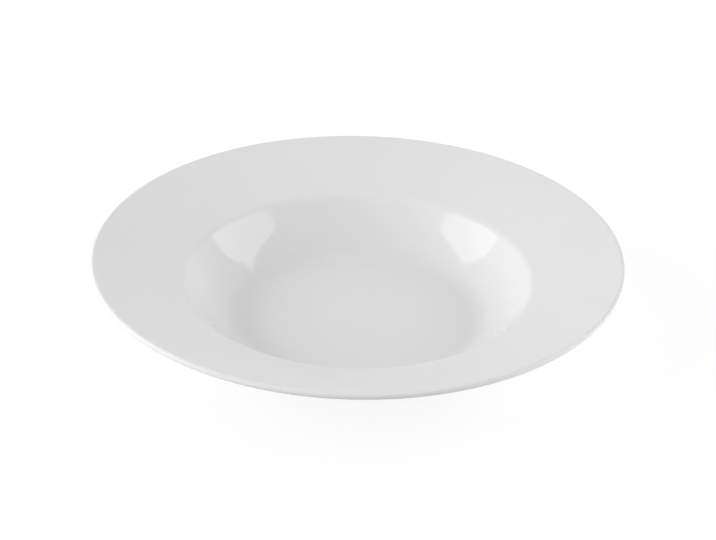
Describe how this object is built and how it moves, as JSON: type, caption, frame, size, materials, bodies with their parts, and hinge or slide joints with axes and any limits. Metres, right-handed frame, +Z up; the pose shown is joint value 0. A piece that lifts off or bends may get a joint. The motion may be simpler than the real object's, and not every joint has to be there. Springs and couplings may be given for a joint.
{
  "type": "pasta bowl",
  "caption": "Wide-rim pasta bowl in glossy white glazed porcelain: deep well with a coved floor, broad sloping rim with a rounded lip, unglazed bearing ring underneath.",
  "frame": {"origin": "centre of the circle that the foot ring stands on, at table level", "axes": "+Z up along the axis that the bowl is turned about; the bowl is the same all round, so +X is set to the right of the picture and -Y towards its camera"},
  "size_m": [0.3, 0.3, 0.052],
  "materials": {
    "bare_porcelain": "matte",
    "white_glaze": "polished"
  },
  "bodies": {
    "root": {"porcelain_body": "bare_porcelain", "glaze_coat": "white_glaze", "recess_glaze": "white_glaze"}
  },
  "joints": []
}
